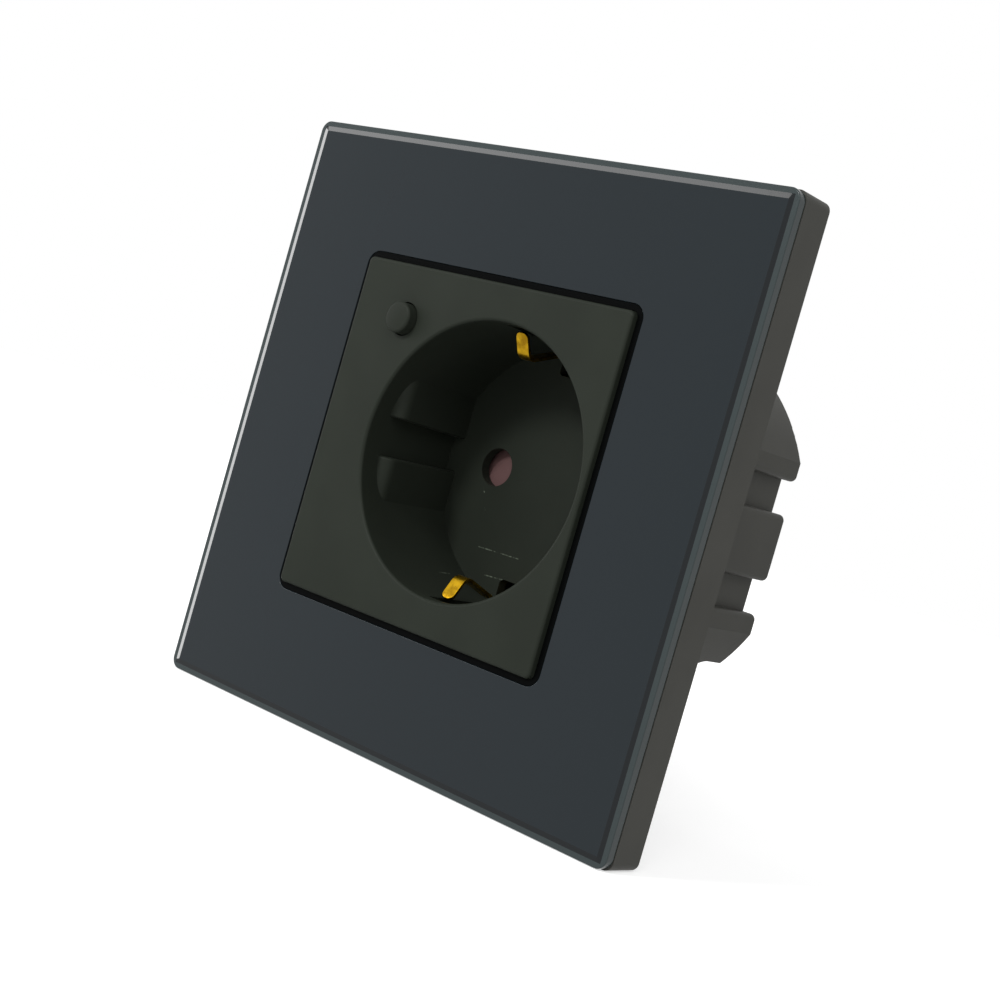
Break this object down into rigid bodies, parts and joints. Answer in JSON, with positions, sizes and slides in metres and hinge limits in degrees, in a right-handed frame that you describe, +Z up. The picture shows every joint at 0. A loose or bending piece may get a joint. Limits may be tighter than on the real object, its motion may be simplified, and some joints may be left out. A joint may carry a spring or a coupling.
{
  "type": "wall socket",
  "caption": "Square glass-panel wall socket with a round earthed plug well, a small push button, a sprung pin shutter and a deep rear housing for a wall box.",
  "frame": {"origin": "centre of the square panel on the wall plane, midway between the two box screws", "axes": "+X to the viewer's right, +Y into the wall, +Z up"},
  "size_m": [0.0862, 0.0485, 0.0862],
  "materials": {
    "glass": "gloss",
    "grey_plastic": "satin",
    "black_plastic": "satin",
    "steel": "satin",
    "switch_plastic": "matt",
    "shutter_plastic": "satin",
    "spring_steel": "bright",
    "brass": "polished",
    "clamp_brass": "machined",
    "board": "solder mask",
    "relay_case": "matt",
    "capacitor_sleeve": "sleeved"
  },
  "bodies": {
    "socket": {"glass_panel": "glass", "panel_frame": "grey_plastic", "trim_ring": "black_plastic", "mounting_plate": "steel", "plate_screws": "steel", "socket_insert": "grey_plastic", "tact_switch": "switch_plastic", "shutter_spring": "spring_steel", "earth_bracket": "brass", "live_contact": "brass", "neutral_contact": "brass", "contact_carrier": "black_plastic", "terminal_screws": "steel", "circuit_board": "board", "relay": "relay_case", "power_supply": "relay_case", "capacitor": "capacitor_sleeve", "housing_ring": "grey_plastic", "rear_housing": "grey_plastic", "housing_screws": "steel", "live_clamp": "clamp_brass", "earth_clamp": "clamp_brass", "neutral_clamp": "clamp_brass"},
    "button": {"push_button": "grey_plastic", "switch_plunger": "switch_plastic"},
    "shutter": {"shutter": "shutter_plastic"}
  },
  "joints": [
    {"name": "button_press", "type": "slide", "parent": "socket", "child": "button", "axis": [0, 1, 0], "range_m": [0, 0.0008], "stiffness_N_per_m": 250, "springref_m": -0.004},
    {"name": "shutter_turn", "type": "hinge", "parent": "socket", "child": "shutter", "pos_m": [0.004, 0.0128, 0], "axis": [0, -1, 0], "range_deg": [0, 40], "stiffness_Nm_per_rad": 0.004, "springref_deg": -17.19, "deforming": ["shutter_spring"]}
  ]
}
